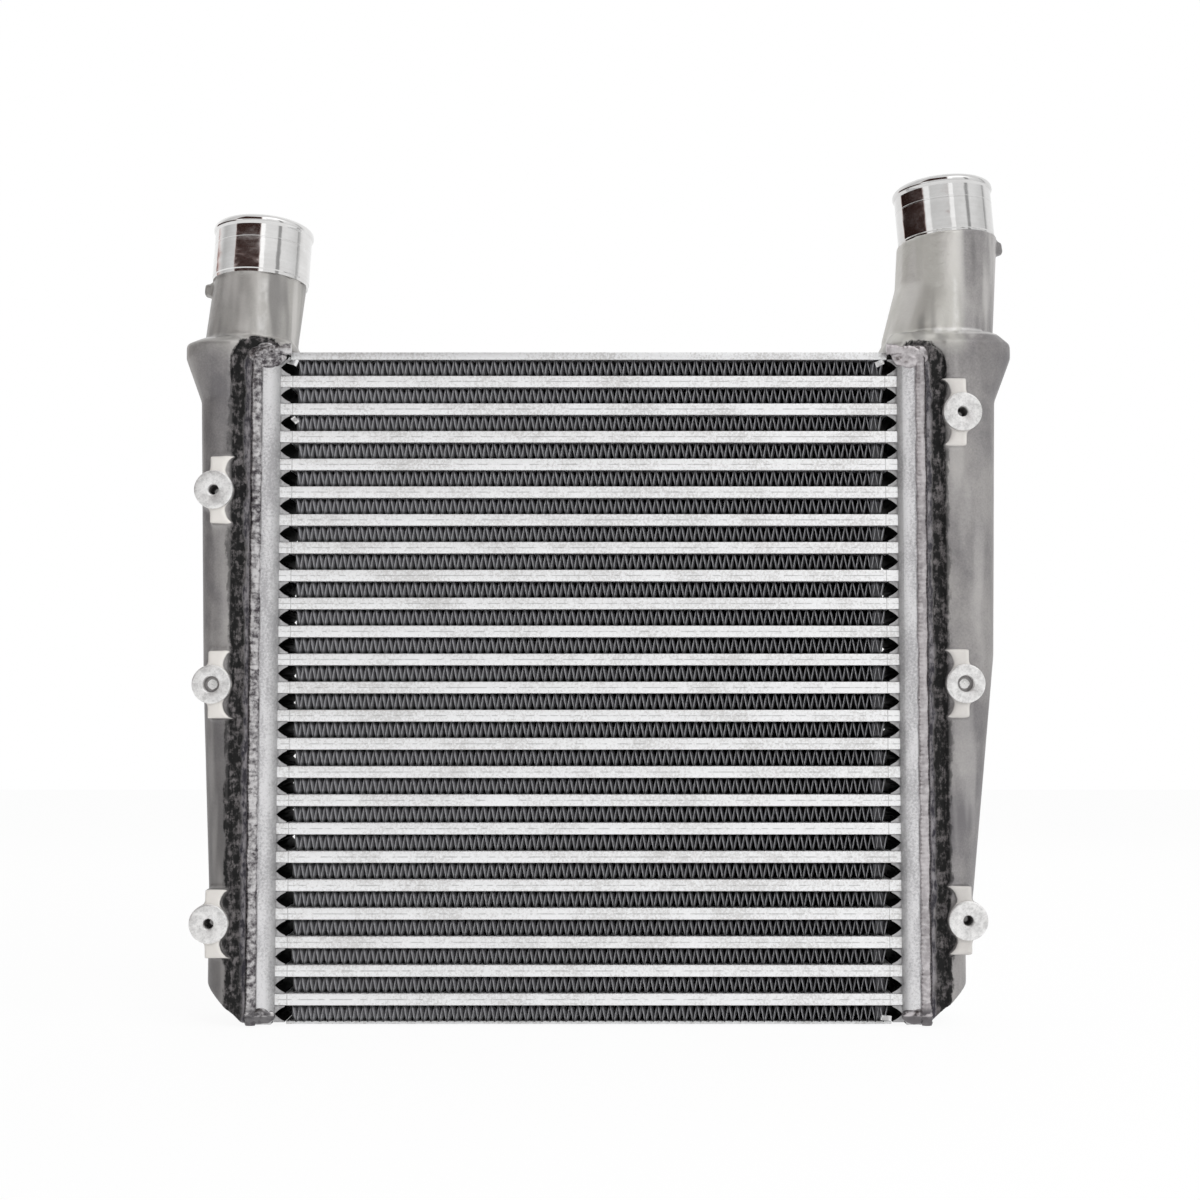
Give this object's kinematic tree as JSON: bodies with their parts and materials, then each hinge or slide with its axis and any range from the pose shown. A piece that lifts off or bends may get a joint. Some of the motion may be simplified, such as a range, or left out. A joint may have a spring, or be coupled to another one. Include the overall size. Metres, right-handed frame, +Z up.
{
  "type": "intercooler",
  "caption": "Upright air-to-air charge air cooler: flat tubes and folded fins between two header plates, with cast side tanks, hose spigots on top and machined mounting bosses.",
  "frame": {"origin": "centre of the underside of the core's bottom side plate", "axes": "+Z up along the tanks towards the hose spigots, +X along the tubes to the right seen from the face with the bosses, -Y out of that face"},
  "size_m": [0.5153, 0.0845, 0.5287],
  "materials": {
    "tubes": "satin, brazed",
    "fins": "dull grey sheet",
    "side_plates": "satin sheet",
    "header_plates": "satin, brazed",
    "cast_tanks": "sand cast, matt, machined on spigots and bosses",
    "welds": "bright rippled weld"
  },
  "bodies": {
    "root": {"tube_01": "tubes", "tube_02": "tubes", "tube_03": "tubes", "tube_04": "tubes", "tube_05": "tubes", "tube_06": "tubes", "tube_07": "tubes", "tube_08": "tubes", "tube_09": "tubes", "tube_10": "tubes", "tube_11": "tubes", "tube_12": "tubes", "tube_13": "tubes", "tube_14": "tubes", "tube_15": "tubes", "tube_16": "tubes", "tube_17": "tubes", "tube_18": "tubes", "tube_19": "tubes", "tube_20": "tubes", "tube_21": "tubes", "tube_22": "tubes", "tube_23": "tubes", "fin_01": "fins", "fin_02": "fins", "fin_03": "fins", "fin_04": "fins", "fin_05": "fins", "fin_06": "fins", "fin_07": "fins", "fin_08": "fins", "fin_09": "fins", "fin_10": "fins", "fin_11": "fins", "fin_12": "fins", "fin_13": "fins", "fin_14": "fins", "fin_15": "fins", "fin_16": "fins", "fin_17": "fins", "fin_18": "fins", "fin_19": "fins", "fin_20": "fins", "fin_21": "fins", "fin_22": "fins", "fin_23": "fins", "fin_24": "fins", "tube_turbulators": "fins", "bottom_side_plate": "side_plates", "top_side_plate": "side_plates", "left_header_plate": "header_plates", "right_header_plate": "header_plates", "left_tank": "cast_tanks", "right_tank": "cast_tanks", "left_weld": "welds", "right_weld": "welds"}
  },
  "joints": []
}
